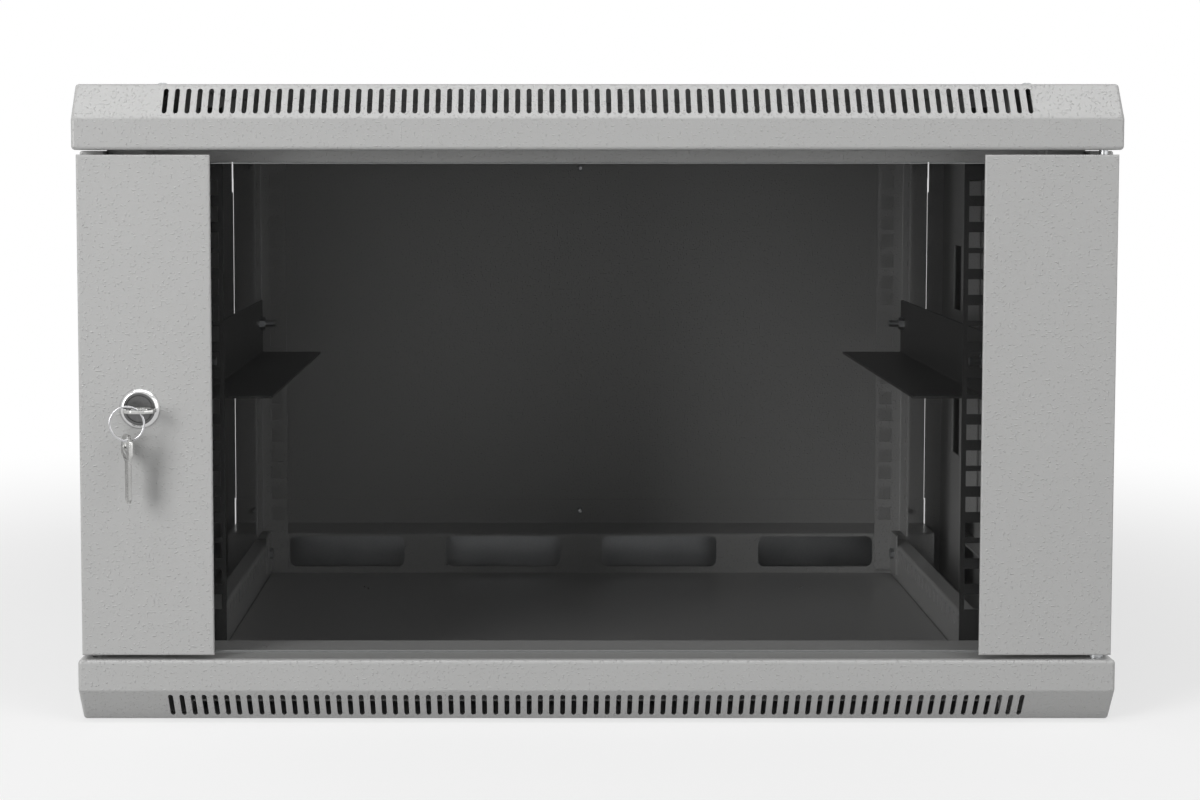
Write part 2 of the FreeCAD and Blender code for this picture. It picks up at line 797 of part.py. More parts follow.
def front_post(name, side):
    """The post behind the door stile, with a lip that the side panel is screwed to."""
    body = new_body(name)
    edge = times(side, FRONT_POST_EDGE)
    web = times(side, POST_WEB)
    front = f"{FRONT} + front_post_setback"
    rear = f"{front} + front_post_depth"
    fold(body, "XY", [(edge, rear), (edge, front), (web, front), (web, rear)], "frame_gauge",
         DECK_LOW, f"{DECK_HIGH} - {DECK_LOW}", side)
    lip = [
        (times(side, f"{POST_WEB} - frame_gauge"), f"{rear} - frame_gauge"),
        (times(side, PANEL_INSIDE), f"{rear} - frame_gauge"),
        (times(side, PANEL_INSIDE), f"{rear} - frame_gauge + post_lip_length"),
    ]
    fold(body, "XY", lip, "frame_gauge", "post_lip_margin", f"{HEIGHT} - 2 * post_lip_margin", side)
    side_screw_holes(body, side, f"{rear} - frame_gauge + post_lip_length / 2")


def side_screw_holes(body, side, setback):
    for level in ("panel_screw_level", f"{HEIGHT} - panel_screw_level"):
        cut_hole(body, "YZ", times(side, PANEL_INSIDE), setback, level,
                 "screw_radius + screw_clearance", "3 * frame_gauge")


def countersinks(spots, axis):
    """The tools that leave room for countersunk heads in sheet as thick as the head."""
    return [
        cone(spot, axis, "screw_head_radius + screw_clearance",
             "screw_radius + screw_clearance", "panel_gauge")
        for spot in spots
    ]


def countersunk_screw(spot, axis, along, outward):
    """A screw that lies flush in the sheet, drawn inwards from the outer face."""
    head = cone(spot, axis, "screw_head_radius", "screw_radius", "panel_gauge")
    below = list(spot)
    below[along] = plus(spot[along], -outward, "panel_gauge")
    shank = cylinder(below, axis, "screw_radius", "screw_length - panel_gauge")
    return join([head, shank])


def side_screw_spots(side):
    front_lip = (f"{FRONT} + front_post_setback + front_post_depth - frame_gauge"
                 " + post_lip_length / 2")
    rear_lip = f"{FRONT} + rear_post_front + post_lip_length / 2"
    return [
        (times(side, HALF_WIDTH), setback, level)
        for setback in (front_lip, rear_lip)
        for level in ("panel_screw_level", f"{HEIGHT} - panel_screw_level")
    ]


def side_panel(name, side):
    """A shallow pan: a flat side with its four edges turned inwards."""
    pan = doc.addObject("PartDesign::Body", f"{name}_pan")
    sheet_sketch = new_sketch(pan, "YZ", f"{side} * ({HALF_WIDTH} - panel_return / 2) - panel_return / 2")
    front = f"{FRONT} + panel_setback"
    rectangle(sheet_sketch, front, BACK, PANEL_LOW, PANEL_HIGH)
    pad(pan, sheet_sketch, "YZ", "panel_return")
    outer = value(times(side, HALF_WIDTH))
    round_edges(pan, lambda edge: all(abs(v.Point.x - outer) < 1e-6 for v in edge.Vertexes),
                "panel_edge")
    hollow = new_sketch(pan, "YZ", times(side, f"{HALF_WIDTH} - panel_return"))
    rectangle(hollow, f"{front} + panel_gauge", f"{BACK} - panel_gauge",
              f"{PANEL_LOW} + panel_gauge", f"{PANEL_HIGH} - panel_gauge")
    cut(pan, hollow, "2 * (panel_return - panel_gauge)")
    tools = group(countersinks(side_screw_spots(side), "-x" if side > 0 else "x"))
    keep(subtract(pan, tools), name)


def back_screw_spots():
    return [
        (times(spot, BACK_SCREW_X), BACK, level)
        for level in ("back_screw_level", f"{HEIGHT} - back_screw_level")
        for spot in (-1, 0, 1)
    ]


def panels():
    for word, side in SIDES:
        side_panel(f"side_panel_{word}", side)
    screws = [
        countersunk_screw(spot, "-x" if side > 0 else "x", 0, side)
        for _, side in SIDES
        for spot in side_screw_spots(side)
    ]
    keep(group(screws), "side_panel_screws")
    sheet_box = box(f"back_panel_inset - {HALF_WIDTH}", f"{HALF_WIDTH} - back_panel_inset", BACK_SKIN, BACK,
                    f"{DECK_LOW} + back_panel_gap", f"{DECK_HIGH} - back_panel_gap")
    keep(subtract(sheet_box, group(countersinks(back_screw_spots(), "-y"))), "back_panel")
    screws = [countersunk_screw(spot, "-y", 1, 1) for spot in back_screw_spots()]
    keep(group(screws), "back_panel_screws")


def wall_bars():
    """Flat steel bars behind the covers' rear walls, which carry the wall bolts."""
    for word, outer, inward in (("bottom", "0", 1), ("top", HEIGHT, -1)):
        body = new_body(f"wall_bar_{word}")
        sketch = new_sketch(body, "XZ", f"{BACK} - cover_gauge - wall_bar_gauge")
        centre = plus(outer, inward, "wall_hole_level")
        rectangle(sketch, f"wall_bar_inset - {HALF_WIDTH}", f"{HALF_WIDTH} - wall_bar_inset",
                  f"{centre} - wall_bar_height / 2", f"{centre} + wall_bar_height / 2")
        for side in (-1, 1):
            circle(sketch, times(side, WALL_HOLE_X), centre, "wall_hole_radius")
        pad(body, sketch, "XZ", "wall_bar_gauge")


def cable_entries():
    """Plates that close the cable openings from the inside, each with two screws."""
    screws = []
    for word, outer, inward in (("bottom", "0", 1), ("top", HEIGHT, -1)):
        body = new_body(f"cable_entry_cover_{word}")
        low = plus(outer, inward, "cover_gauge + frame_gauge / 2")
        sketch = new_sketch(body, "XY", f"{low} - frame_gauge / 2")
        front = f"{FRONT} + entry_setback"
        half = "(entry_width / 2 + entry_side_margin)"
        rectangle(sketch, f"-{half}", half, f"{front} - entry_margin",
                  f"{front} + entry_depth + entry_margin")
        for side in (-1, 1):
            across = times(side, "entry_width / 2 + entry_side_margin / 2")
            along = f"{front} + entry_depth / 2"
            circle(sketch, across, along, "entry_screw_radius + bolt_clearance")
            face = plus(outer, inward, "cover_gauge + frame_gauge")
            axis, back_axis = ("z", "-z") if inward > 0 else ("-z", "z")
            head = cylinder((across, along, face), axis, "entry_screw_head_radius",
                            "entry_screw_head_height")
            shank = cylinder((across, along, face), back_axis, "entry_screw_radius",
                             "cover_gauge + frame_gauge")
            screws.append(join([head, shank]))
        pad(body, sketch, "XY", "frame_gauge")
    keep(group(screws), "cable_entry_screws")


def lid_screws():
    """Pan-head screws that hold the top cover to the channels below it."""
    screws = []
    for _, side in SIDES:
        for setback in ("lid_screw_front", "lid_screw_rear"):
            spot = (times(side, "lid_screw_place"), f"{FRONT} + {setback}", HEIGHT)
            head = cylinder(spot, "z", "lid_screw_head_radius", "lid_screw_head_height")
            shank = cylinder(spot, "-z", "screw_radius", "lid_screw_length")
            screws.append(join([head, shank]))
    keep(group(screws), "top_cover_screws")


# ---------------------------------------------------------------- rails and shelf supports
def rail(name, side, face, facing):
    """A square-hole mounting rail. Its face looks forwards (facing 1) or backwards (facing -1)."""
    body = new_body(name)
    edge = times(side, RAIL_EDGE)
    outside = times(side, RAIL_OUTSIDE)
    foot = times(side, CHANNEL_WALL)
    low = "rail_end_gap"
    shoulder = "(rail_end_gap + rail_foot_height)"
    fold(body, "XY", [(edge, face), (outside, face), (outside, plus(face, facing, "rail_side"))],
         "rail_gauge", shoulder, f"{HEIGHT} - 2 * {shoulder}", side * facing)
    tab = [(edge, face), (foot, face), (foot, plus(face, facing, "rail_foot_depth"))]
    for start in (low, f"{HEIGHT} - {shoulder}"):
        fold(body, "XY", tab, "rail_gauge", start, "rail_foot_height", side * facing, False)
    for level in ("slot_level", f"{HEIGHT} - slot_level"):
        cut_hole(body, "YZ", times(side, f"{CHANNEL_WALL} - rail_gauge / 2"),
                 plus(face, facing, "rail_bolt_inset"), level,
                 "rail_bolt_radius + bolt_clearance", "3 * rail_gauge")
    cut_hole(body, "YZ", times(side, f"{RAIL_OUTSIDE} - rail_gauge / 2"),
             plus(face, facing, "rail_bolt_inset"), "shelf_bolt_level",
             "shelf_bolt_radius + bolt_clearance", "3 * rail_gauge")
    row = cut_hole(body, "YZ", times(side, f"{RAIL_OUTSIDE} - rail_gauge / 2"),
                   plus(face, facing, "rail_row_inset"), f"{RAIL_BASE} + rack_hole_margin",
                   "rail_row_radius", "3 * rail_gauge")
    repeat(body, row, "Z", "unit_height / 3", "3 * rack_units")
    squares = new_sketch(body, "XZ", plus(face, facing, "rail_gauge / 2"))
    across = times(side, "rack_hole_spacing / 2")
    for step in range(3):
        centre = f"({RAIL_BASE} + rack_hole_margin + {step} * rack_hole_step)"
        rectangle(squares, f"{across} - rack_hole / 2", f"{across} + rack_hole / 2",
                  f"{centre} - rack_hole / 2", f"{centre} + rack_hole / 2")
    first = cut(body, squares, "3 * rail_gauge")
    repeat(body, first, "Z", "unit_height", "rack_units")


def shelf_support(name, side):
    """An angle between the front and rear rails that carries a shelf or a heavy unit."""
    body = new_body(name)
    under = "shelf_level - rail_gauge"
    wall = times(side, f"{RAIL_OUTSIDE} - rail_gauge")
    start = f"({FRONT} + shelf_start)"
    end = f"({REAR_RAIL} - rail_gauge - bend_radius - shelf_end_gap)"
    path = [(times(side, "shelf_edge"), under), (wall, under), (wall, f"{under} + shelf_flange")]
    fold(body, "XZ", path, "rail_gauge", start, f"{end} - {start}", side)
    corner = new_sketch(body, "XY", f"{under} + rail_gauge / 2")
    rectangle(corner, times(side, "shelf_edge - rail_gauge"),
              times(side, f"{RAIL_OUTSIDE} - 4 * rail_gauge"),
              f"{start} - rail_gauge", f"{FRONT} + shelf_tray_start")
    cut(body, corner, "3 * rail_gauge")
    for along in (f"{FRONT_RAIL} + rail_bolt_inset", f"{REAR_RAIL} - rail_bolt_inset"):
        cut_hole(body, "YZ", times(side, f"{RAIL_OUTSIDE} - 1.5 * rail_gauge"), along,
                 "shelf_bolt_level", "shelf_bolt_radius + bolt_clearance", "3 * rail_gauge")


def ringed(outer, spot, axis, radius, length):
    """A nut or plate with its bore."""
    return subtract(outer, cylinder(spot, axis, radius, length))


def rail_fasteners():
    """Hex bolts and nuts at the rails' feet and through the shelf supports."""
    bolts, nuts, shelf_bolts, shelf_nuts = [], [], [], []
    for _, side in SIDES:
        out, back_in = ("x", "-x") if side > 0 else ("-x", "x")
        for along in (f"{FRONT_RAIL} + rail_bolt_inset", f"{REAR_RAIL} - rail_bolt_inset"):
            for level in ("slot_level", f"{HEIGHT} - slot_level"):
                inner = (times(side, f"{CHANNEL_WALL} - rail_gauge"), along, level)
                head = hexagon(inner, back_in, "small_head_width", "small_head_height")
                grip = "rail_gauge + frame_gauge + small_nut_height + rail_bolt_radius"
                shank = cylinder(inner, out, "rail_bolt_radius", grip)
                bolts.append(join([head, shank]))
                outer = (times(side, CHANNEL_OUTSIDE), along, level)
                nut = hexagon(outer, out, "small_head_width", "small_nut_height")
                nuts.append(ringed(nut, outer, out, "rail_bolt_radius + screw_clearance",
                                   "small_nut_height"))
            outer = (times(side, RAIL_OUTSIDE), along, "shelf_bolt_level")
            head = hexagon(outer, out, "large_head_width", "large_head_height")
            shank = cylinder(outer, back_in, "shelf_bolt_radius", "shelf_bolt_reach")
            shelf_bolts.append(join([head, shank]))
            inner = (times(side, f"{RAIL_OUTSIDE} - 2 * rail_gauge"), along, "shelf_bolt_level")
            nut = hexagon(inner, back_in, "large_head_width", "large_nut_height")
            shelf_nuts.append(ringed(nut, inner, back_in, "shelf_bolt_radius + screw_clearance",
                                     "large_nut_height"))
    for solids, name in ((bolts, "rail_bolts"), (nuts, "rail_nuts"),
                         (shelf_bolts, "shelf_bolts"), (shelf_nuts, "shelf_nuts")):
        keep(group(solids), name)


# ---------------------------------------------------------------- door
def stile(name, side):
    """A box-folded steel stile: face, outer return and a cap at each end."""
    body = new_body(name)
    section = new_sketch(body, "XY", DOOR_LOW)
    outer = times(side, DOOR_SIDE)
    inner_skin = times(side, f"{DOOR_SIDE} - frame_gauge")
    edge = times(side, STILE_EDGE)
    rear = f"{DOOR_FACE} + door_thickness"
    polygon(section, [(edge, DOOR_FACE), (outer, DOOR_FACE), (outer, rear), (inner_skin, rear),
                      (inner_skin, DOOR_SKIN), (edge, DOOR_SKIN)])
    pad(body, section, "XY", f"{DOOR_HIGH} - {DOOR_LOW}")
    for start in (DOOR_LOW, f"{DOOR_HIGH} - frame_gauge"):
        cap = new_sketch(body, "XY", start)
        rectangle(cap, times(side, f"{DOOR_SIDE} - cap_width"), outer, DOOR_FACE, rear)
        pad(body, cap, "XY", "frame_gauge")
    face = value(DOOR_FACE)
    round_edges(body, lambda e: all(abs(v.Point.y - face) < 1e-6 for v in e.Vertexes), "stile_edge")
    return body


def door():
    lock_stile = stile("door_stile_lock", -1)
    cut_hole(lock_stile, "XZ", DOOR_SKIN, LOCK_X, LOCK_Z, "barrel_radius + barrel_clearance",
             "4 * frame_gauge")
    hinge_stile = stile("door_stile_hinge", 1)
    for level in (DOOR_LOW, DOOR_HIGH):
        cut_hole(hinge_stile, "XY", level, PIN_X, PIN_Y, "pin_radius + pin_fit",
                 "4 * frame_gauge")
    pane = box(f"-{GLASS_EDGE}", GLASS_EDGE, GLASS_FACE, f"{GLASS_FACE} + glass_thickness",
               GLASS_LOW, GLASS_HIGH)
    doc.recompute()
    polished = doc.addObject("Part::Chamfer", "polished")
    polished.Base = pane
    bevel = value("glass_edge")
    polished.Edges = [(i + 1, bevel, bevel) for i in range(len(pane.Shape.Edges))]
    keep(polished, "door_glass")
    for word, side in SIDES:
        first = times(side, f"{STILE_EDGE} + (glass_lap - tape_width) / 2 + tape_width / 2")
        tape = box(f"({first} - tape_width / 2)", f"({first} + tape_width / 2)", DOOR_SKIN,
                   GLASS_FACE, f"{GLASS_LOW} + tape_end_gap", f"{GLASS_HIGH} - tape_end_gap")
        keep(tape, f"glass_tape_{word}")


def hinges():
    """A fixed pin below the door and a sprung pin, with its lever, above it."""
    low = (PIN_X, PIN_Y, f"{DECK_LOW} - low_pin_tail")
    shank = cylinder(low, "z", "pin_radius", "low_pin_tail + low_pin_reach")
    collar = cylinder((PIN_X, PIN_Y, DECK_LOW), "z", "collar_radius", "door_gap - collar_gap")
    keep(join([shank, collar]), "hinge_pin_bottom")
    under = (PIN_X, PIN_Y, f"{DECK_LOW} - cover_gauge")
    nut = hexagon(under, "-z", "large_head_width", "pin_nut_height")
    keep(ringed(nut, under, "-z", "pin_radius + screw_clearance", "pin_nut_height"),
         "hinge_pin_nut")

    tip = f"({DECK_HIGH} + top_pin_reach)"
    tail = f"({tip} - top_pin_length)"
    shank = cylinder((PIN_X, PIN_Y, tail), "z", "pin_radius", "top_pin_length")
    collar_top = f"({DOOR_HIGH} - frame_gauge - top_collar_gap)"
    collar_low = f"({collar_top} - top_collar_height)"
    collar = cylinder((PIN_X, PIN_Y, collar_low), "z", "spring_radius + spring_wire",
                      "top_collar_height")
    lever = cylinder((PIN_X, PIN_Y, f"{tail} + lever_rise"), "-x", "lever_radius",
                     "lever_length")
    keep(join([shank, collar, lever]), "hinge_pin_top")

    bracket_top = f"({DOOR_HIGH} - bracket_drop)"
    right = f"({DOOR_SIDE} - frame_gauge)"
    plate = box(f"({right} - bracket_width)", right, DOOR_SKIN, f"({DOOR_SKIN} + bracket_depth)",
                f"({bracket_top} - frame_gauge)", bracket_top)
    bored = ringed(plate, (PIN_X, PIN_Y, f"{bracket_top} - 2 * frame_gauge"), "z",
                   "pin_radius + pin_fit", "3 * frame_gauge")
    keep(bored, "hinge_pin_bracket")

    low_end = value(bracket_top) + value("spring_wire")
    high_end = value(collar_low) - value("spring_wire")
    radius = value("spring_radius")
    wire = value("spring_wire")
    helix = Part.makeHelix((high_end - low_end) / value("spring_turns"), high_end - low_end, radius)
    section = Part.Wire(Part.makeCircle(wire, Vector(radius, 0, 0), Vector(0, 1, 0)))
    coil = doc.addObject("Part::Feature", "coil")
    coil.Shape = Part.Wire(helix).makePipeShell([section], True, True)
    coil.Placement = FreeCAD.Placement(
        Vector(value(PIN_X), value(PIN_Y), low_end), FreeCAD.Rotation())
    keep(coil, "hinge_pin_spring")


# ---------------------------------------------------------------- lock and keys
def lock():
    centre = (LOCK_X, DOOR_FACE, LOCK_Z)
    bezel = cone(centre, "-y", "bezel_radius", "bezel_face_radius", "bezel_height")
    barrel = cylinder(centre, "y", "barrel_radius", "barrel_length")
    bore = cylinder((LOCK_X, f"{BEZEL_FACE} - bezel_height", LOCK_Z), "y", "plug_radius + plug_fit",
                    "barrel_length + 3 * bezel_height")
    keep(subtract(join([bezel, barrel]), bore), "lock_body")
    skin = (LOCK_X, DOOR_SKIN, LOCK_Z)
    nut = hexagon(skin, "y", "lock_nut_width", "lock_nut_height")
    keep(ringed(nut, skin, "y", "barrel_radius + barrel_clearance", "lock_nut_height"), "lock_nut")

    plug = cylinder((LOCK_X, PLUG_FACE, LOCK_Z), "y", "plug_radius", "plug_length")
    tail = cylinder((LOCK_X, PLUG_REAR, LOCK_Z), "y", "tail_radius", "cam_gauge")
    half_slot = "(blade_width / 2 + 1.5 * key_clearance)"
    half_gap = "(key_gauge / 2 + key_clearance)"
    keyway = box(f"({LOCK_X} - {half_slot})", f"({LOCK_X} + {half_slot})",
                 f"({PLUG_FACE} - bow_shoulder)", f"({PLUG_FACE} + blade_length)",
                 f"({LOCK_Z} - {half_gap})", f"({LOCK_Z} + {half_gap})")
    thread = cylinder((LOCK_X, CAM_REAR, LOCK_Z), "-y", "cam_screw_radius + key_clearance",
                      "cam_gauge + key_clearance")
    keep(subtract(join([plug, tail]), group([keyway, thread])), "lock_plug")

    cam = new_body("lock_cam")
    sketch = new_sketch(cam, "XZ", PLUG_REAR)
    obround(sketch, LOCK_X, f"({LOCK_Z} - (cam_reach - cam_width / 2) / 2)", "cam_width",
            "(cam_reach + cam_width / 2)")
    circle(sketch, LOCK_X, LOCK_Z, "tail_radius + barrel_clearance")
    pad(cam, sketch, "XZ", "cam_gauge")

    rear = (LOCK_X, CAM_REAR, LOCK_Z)
    head = cylinder(rear, "y", "cam_screw_head_radius", "cam_screw_head_height")
    shank = cylinder(rear, "-y", "cam_screw_radius", "cam_gauge")
    keep(join([head, shank]), "lock_cam_screw")

    strike = new_body("lock_strike")
    face = f"({PLUG_REAR} - strike_gap - frame_gauge)"
    foot = f"({FRONT} + front_post_setback - frame_gauge)"
    shelf = f"({LOCK_Z} + strike_lift)"
    path = [(face, f"{LOCK_Z} - strike_drop"), (face, shelf), (foot, shelf),
            (foot, f"{shelf} + strike_foot")]
    fold(strike, "YZ", path, "frame_gauge", f"strike_inset - {HALF_WIDTH} - strike_width / 2", "strike_width", -1)


def key(name):
    """A flat key about the middle of its ring hole: blade towards +Y, bow towards -Y."""
    body = new_body(name)
    blank = new_sketch(body, "XY", "-key_gauge / 2")
    blade = "-bow_offset"
    shoulder = "(bow_length - key_hole_inset)"
    tip = f"({shoulder} + bow_shoulder + blade_length)"
    polygon(blank, [
        ("-bow_end_width / 2", "-key_hole_inset"),
        ("bow_end_width / 2", "-key_hole_inset"),
        ("bow_width / 2", "-key_hole_inset / 3"),
        ("bow_width / 2", f"{shoulder} - bow_length / 4"),
        (f"{blade} + blade_width / 2", f"{shoulder}"),
        (f"{blade} + blade_width / 2", f"{tip} - blade_width / 3"),
        (f"{blade} + blade_width / 6", tip),
        (f"{blade} - blade_width / 6", tip),
        (f"{blade} - blade_width / 2", f"{tip} - blade_width / 3"),
        (f"{blade} - blade_width / 2", f"{shoulder}"),
        ("-bow_width / 2", f"{shoulder} - bow_length / 4"),
        ("-bow_width / 2", "-key_hole_inset / 3"),
    ])
    pad(body, blank, "XY", "key_gauge")
    limit = value(shoulder) - 1e-3
    round_edges(body, lambda e: abs(e.Vertexes[0].Point.z - e.Vertexes[-1].Point.z) > 1e-6
                and e.Vertexes[0].Point.y < limit, "bow_corner")
    hole = new_sketch(body, "XY", "0")
    rectangle(hole, "-key_hole_width / 2", "key_hole_width / 2", "-key_hole_length / 2",
              "key_hole_length / 2")
    cut(body, hole, "2 * key_gauge")
    wide, long = value("key_hole_width / 2"), value("key_hole_length / 2")

    def hole_corner(edge):
        points = [vertex.Point for vertex in edge.Vertexes]
        if len(points) != 2 or abs(points[0].z - points[1].z) < 1e-6:
            return False
        return all(abs(abs(p.x) - wide) < 1e-4 and abs(abs(p.y) - long) < 1e-4 for p in points)

    round_edges(body, hole_corner, "key_hole_corner")
    return body


def keys():
    """One key in the lock, the ring on its bow and the spare key on the ring."""
    place(key("key_in_lock"), (f"{LOCK_X} + bow_offset", KEY_HOLE_Y, LOCK_Z))
    ring = primitive("Torus", (RING_PIVOT_X, KEY_HOLE_Y, RING_Z), "y",
                     Radius1="ring_radius", Radius2="ring_wire")
    keep(ring, "key_ring")
    spare = key("spare_key")
    hang = FreeCAD.Rotation(Vector(0, 1, 0), Vector(0, 0, -1), Vector(-1, 0, 0), "ZXY")
    turned = FreeCAD.Rotation(Vector(0, 0, 1), value("spare_turn"))
    spare.Placement = FreeCAD.Placement(Vector(), turned.multiply(hang))
    wire = f"({RING_Z} - ring_radius)"
    drop = "(key_hole_length / 2 - ring_wire - spare_hang_gap)"
    for letter, expression in (("x", RING_PIVOT_X), ("y", KEY_HOLE_Y), ("z", f"{wire} - {drop}")):
        spare.setExpression(f"Placement.Base.{letter}", bound(expression))


def build():
    bottom_cover()
    top_cover()
    floor_panel()
    for word, side in SIDES:
        channel(f"bottom_channel_{word}", side, "0", 1)
        channel(f"top_channel_{word}", side, HEIGHT, -1)
    rear_frame("rear_frame_bottom", "0", 1)
    rear_frame("rear_frame_top", HEIGHT, -1)
    for word, side in SIDES:
        rear_post(f"rear_post_{word}", side)
        front_post(f"front_post_{word}", side)
    panels()
    wall_bars()
    cable_entries()
    lid_screws()
    for word, side in SIDES:
        rail(f"front_rail_{word}", side, FRONT_RAIL, 1)
        rail(f"rear_rail_{word}", side, REAR_RAIL, -1)
        shelf_support(f"shelf_support_{word}", side)
    rail_fasteners()
    door()
    hinges()
    lock()
    keys()


def write():
    """Check every object and each piece's shape, then write the pieces."""
    doc.recompute()
    for item in doc.Objects:
        if "Invalid" in item.State or "Error" in item.State:
            raise RuntimeError(f"{item.Label} did not build: {item.State}")
    for piece in pieces:
        if piece.Shape.isNull() or not piece.Shape.isValid():
            raise RuntimeError(f"{piece.Label} has no valid shape")
    for piece in pieces:
        piece.Shape.exportStep(f"parts/{piece.Label}.step")
        print(piece.Label, len(piece.Shape.Solids), round(piece.Shape.Volume, 1))


build()
write()
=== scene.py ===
# %% [markdown]
# # A six-unit wall cabinet, dressed for a picture
# The cabinet is folded sheet steel with a powder coat, and its door is a pane of tinted glass
# between two steel stiles. The solids already have their true shapes and places, so this lesson
# gives them finishes, models the small turned and stamped parts in finer detail, and sets up the
# light and the camera.

import json
import math

import bpy
from mathutils import Matrix, Vector


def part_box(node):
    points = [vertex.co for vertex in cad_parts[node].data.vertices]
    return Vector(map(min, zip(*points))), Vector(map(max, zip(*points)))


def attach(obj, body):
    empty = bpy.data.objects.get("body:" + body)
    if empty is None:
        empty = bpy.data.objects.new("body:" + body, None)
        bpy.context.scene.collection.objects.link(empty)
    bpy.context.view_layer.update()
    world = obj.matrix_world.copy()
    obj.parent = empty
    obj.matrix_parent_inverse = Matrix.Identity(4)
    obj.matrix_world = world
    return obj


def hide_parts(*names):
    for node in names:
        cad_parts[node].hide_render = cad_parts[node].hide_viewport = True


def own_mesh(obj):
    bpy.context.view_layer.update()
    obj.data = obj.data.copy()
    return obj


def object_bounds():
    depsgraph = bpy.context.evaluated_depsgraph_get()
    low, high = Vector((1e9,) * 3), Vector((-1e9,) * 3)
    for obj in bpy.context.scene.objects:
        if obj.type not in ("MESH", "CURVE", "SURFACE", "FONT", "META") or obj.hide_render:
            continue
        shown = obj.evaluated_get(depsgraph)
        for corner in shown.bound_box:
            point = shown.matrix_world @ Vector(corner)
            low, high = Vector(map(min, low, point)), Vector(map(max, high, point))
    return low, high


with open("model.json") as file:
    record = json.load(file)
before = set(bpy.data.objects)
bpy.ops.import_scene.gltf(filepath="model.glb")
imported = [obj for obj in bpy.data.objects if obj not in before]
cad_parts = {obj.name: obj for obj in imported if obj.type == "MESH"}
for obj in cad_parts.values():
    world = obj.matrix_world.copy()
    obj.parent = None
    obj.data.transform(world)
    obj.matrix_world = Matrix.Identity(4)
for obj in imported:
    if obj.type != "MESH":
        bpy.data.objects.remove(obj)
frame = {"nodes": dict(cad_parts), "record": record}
nodes = frame["nodes"]
solid_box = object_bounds()
slot_of = {part["node"]: part["material_slot"] for part in frame["record"]["subparts"]}
bpy.ops.object.select_all(action="DESELECT")

# %% [markdown]
# ## Shader maths as plain expressions
# A finish is mostly noise added, scaled and mixed. Wrapping a socket in a small class lets those
# steps be written as sums, so a finish reads like a recipe. One other method adds any node from its
# settings and its inputs.


# %% A socket that can be added and multiplied
class Level:
    """A number that varies over a surface. Each operator adds a Math node to the finish."""

    def __init__(self, finish, socket):
        self.finish = finish
        self.socket = socket

    def maths(self, operation, first, second):
        return self.finish.node("ShaderNodeMath", {"operation": operation}, {0: first, 1: second})

    def __add__(self, other):
        return self.maths("ADD", self, other)

    def __sub__(self, other):
        return self.maths("SUBTRACT", self, other)

    def __rsub__(self, other):
        return self.maths("SUBTRACT", other, self)

    def __mul__(self, other):
        return self.maths("MULTIPLY", self, other)

    __radd__ = __add__
    __rmul__ = __mul__


class Finish:
    """A material or sky whose nodes are added one at a time."""

    def __init__(self, name, shelf=bpy.data.materials):
        self.block = shelf.new(name)
        self.block.use_nodes = True
        self.tree = self.block.node_tree
        self.tree.nodes.clear()
        self.place = self.node("ShaderNodeTexCoord", {}, {}, "Object")

    def node(self, kind, settings, sockets, output=0):
        node = self.tree.nodes.new(kind)
        for name, setting in settings.items():
            setattr(node, name, setting)
        for name, value in sockets.items():
            if isinstance(value, Level):
                self.tree.links.new(value.socket, node.inputs[name])
            else:
                node.inputs[name].default_value = value
        return Level(self, node.outputs[output])

    def noise(self, scale, detail=2.0, stretch=(1, 1, 1)):
        """Noise about a half, with grains 1 / scale metres across, longer along a stretched axis."""
        where = self.node("ShaderNodeMapping", {}, {"Vector": self.place, "Scale": stretch})
        sockets = {"Vector": where, "Scale": scale, "Detail": detail}
        return self.node("ShaderNodeTexNoise", {}, sockets, "Fac")

    def ramp(self, amount, low, high, bottom=0.0, top=1.0):
        """Bottom where the amount is below low, top where it is above high, and smooth in between."""
        settings = {"interpolation_type": "SMOOTHSTEP"}
        sockets = {"Value": amount, "From Min": low, "From Max": high, "To Min": bottom, "To Max": top}
        return self.node("ShaderNodeMapRange", settings, sockets)

    def colour(self, amount, dark, light):
        """A colour between two, chosen by an amount from 0 to 1."""
        sockets = {"Factor": amount, 6: (*dark, 1), 7: (*light, 1)}
        return self.node("ShaderNodeMix", {"data_type": "RGBA"}, sockets, 2)

    def relief(self, height, depth):
        """A height pattern that tilts the surface's normal. Depth is in metres."""
        return self.node("ShaderNodeBump", {}, {"Height": height, "Distance": depth, "Strength": 1.0})

    def done(self, **sockets):
        """Close a material with its Principled shader. Socket names are written with underscores."""
        named = {name.replace("_", " "): value for name, value in sockets.items()}
        return self.join(self.node("ShaderNodeBsdfPrincipled", {}, named))

    def join(self, shader, output="ShaderNodeOutputMaterial"):
        end = self.tree.nodes.new(output)
        self.tree.links.new(shader.socket, end.inputs["Surface"])
        return self.block


print("finishes can now be written as sums")

# %% [markdown]
# ## Powder coat
# The steel is sprayed with powder that melts into an orange-peel skin. Between its low waves stand
# scattered beads that catch the lamps as specks. One noise makes the waves, its highest parts are
# raised into beads, and a slow noise varies the shade and the gloss a little.


# %% Powder coats
def powder_coat(name, shade, roughness=0.32, wave=0.00007, bead=0.00024):
    """A grey orange-peel coat. Shade is the grey's level, from 0 to 1."""
    coat = Finish(name)
    peel = coat.noise(scale=520, detail=1.5)
    beads = coat.ramp(coat.noise(scale=800, detail=0), 0.62, 0.80)
    patches = coat.noise(scale=7, detail=3)
    light = tuple(shade * tone for tone in (1.04, 1.04, 1.03))
    dark = tuple(shade * tone for tone in (0.94, 0.94, 0.93))
    return coat.done(
        Base_Color=coat.colour(0.6 * patches + 0.4 * peel, dark, light),
        Roughness=roughness - 0.05 + 0.1 * patches,
        Normal=coat.relief(wave / bead * peel + beads, bead),
        Specular_IOR_Level=0.5,
    )


